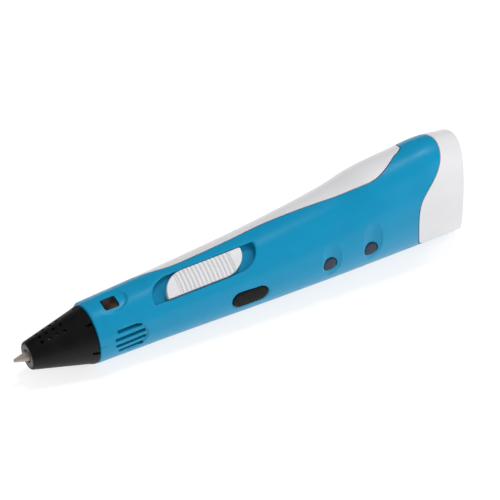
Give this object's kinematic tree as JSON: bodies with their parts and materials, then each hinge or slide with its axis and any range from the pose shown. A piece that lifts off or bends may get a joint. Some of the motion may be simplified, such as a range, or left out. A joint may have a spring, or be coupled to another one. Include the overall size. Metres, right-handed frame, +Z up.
{
  "type": "3d pen",
  "caption": "Hand-held 3d printing pen with a slotted nozzle cover, a sliding speed control, push buttons and a geared filament feed inside two half shells.",
  "frame": {"origin": "middle of the pen's length, on the flat strip under the belly", "axes": "+X from the nozzle tip to the rear end, +Z up from the belly, -Y the side with the buttons"},
  "size_m": [0.184, 0.031, 0.0448],
  "materials": {
    "blue_plastic": "satin",
    "white_plastic": "satin",
    "black_plastic": "matte",
    "dark_metal": "matte",
    "nozzle_metal": "satin",
    "brass": "satin",
    "heater_wire": "matte",
    "insulation": "matte",
    "copper": "matte",
    "ptfe": "satin",
    "window": "gloss",
    "lamp": "gloss",
    "steel": "satin",
    "black_rubber": "matte",
    "grey_button": "satin",
    "board": "gloss",
    "frame_grey": "satin",
    "gear_plastic": "satin",
    "red_wire": "gloss",
    "black_wire": "gloss",
    "yellow_wire": "gloss"
  },
  "bodies": {
    "case": {"blue_shell": "blue_plastic", "white_shell": "white_plastic", "nozzle_cover": "black_plastic", "front_ring": "dark_metal", "nozzle": "nozzle_metal", "heater_tube": "brass", "heating_coil": "heater_wire", "insulation_sleeve": "insulation", "thermistor": "copper", "nozzle_mount": "black_plastic", "guide_tube": "ptfe", "fan_housing": "black_plastic", "window_lens": "window", "indicator_lamp": "lamp", "speed_pot": "steel", "tact_switches": "black_plastic", "circuit_board": "board", "control_chip": "black_plastic", "gear_frame": "frame_grey", "front_bearing": "brass", "rear_bearing": "brass", "motor_gearbox": "steel", "motor_can": "steel", "motor_end_cap": "black_plastic", "inlet_tube": "ptfe", "filament_inlet": "steel", "dc_jack": "black_plastic", "dc_jack_pin": "brass", "shell_screws": "steel", "motor_screws": "steel", "board_screws": "steel", "heater_wires": "red_wire", "motor_wires": "red_wire", "power_wires": "black_wire", "fan_wires": "yellow_wire"},
    "slider": {"speed_slider": "white_plastic", "pot_lever": "steel"},
    "feed_key": {"feed_button": "black_rubber", "feed_plunger": "white_plastic"},
    "load_key": {"load_button": "grey_button", "load_plunger": "white_plastic"},
    "unload_key": {"unload_button": "grey_button", "unload_plunger": "white_plastic"},
    "feed_spindle": {"feed_gear": "gear_plastic"},
    "motor_spindle": {"drive_pinion": "brass", "output_shaft": "steel"},
    "fan": {"fan_rotor": "black_plastic"}
  },
  "joints": [
    {"name": "speed_slide", "type": "slide", "parent": "case", "child": "slider", "axis": [0.9961, -0.046, 0.0755], "range_m": [-0.0055, 0.0055]},
    {"name": "feed_press", "type": "slide", "parent": "case", "child": "feed_key", "axis": [0, 1, 0], "range_m": [0, 0.0005]},
    {"name": "load_press", "type": "slide", "parent": "case", "child": "load_key", "axis": [0, 1, 0], "range_m": [0, 0.0005]},
    {"name": "unload_press", "type": "slide", "parent": "case", "child": "unload_key", "axis": [0, 1, 0], "range_m": [0, 0.0005]},
    {"name": "feed_spin", "type": "hinge", "parent": "case", "child": "feed_spindle", "pos_m": [0.012, 0, 0.0108], "axis": [1, 0, 0], "continuous": true},
    {"name": "motor_spin", "type": "hinge", "parent": "case", "child": "motor_spindle", "pos_m": [0.012, 0, 0.02133], "axis": [1, 0, 0], "continuous": true},
    {"name": "fan_spin", "type": "hinge", "parent": "case", "child": "fan", "pos_m": [-0.049, -0.0046, 0.0121], "axis": [0, -1, 0], "continuous": true}
  ],
  "couplings": [
    {"joint": "motor_spin", "follows": "feed_spin", "ratio": -2}
  ]
}
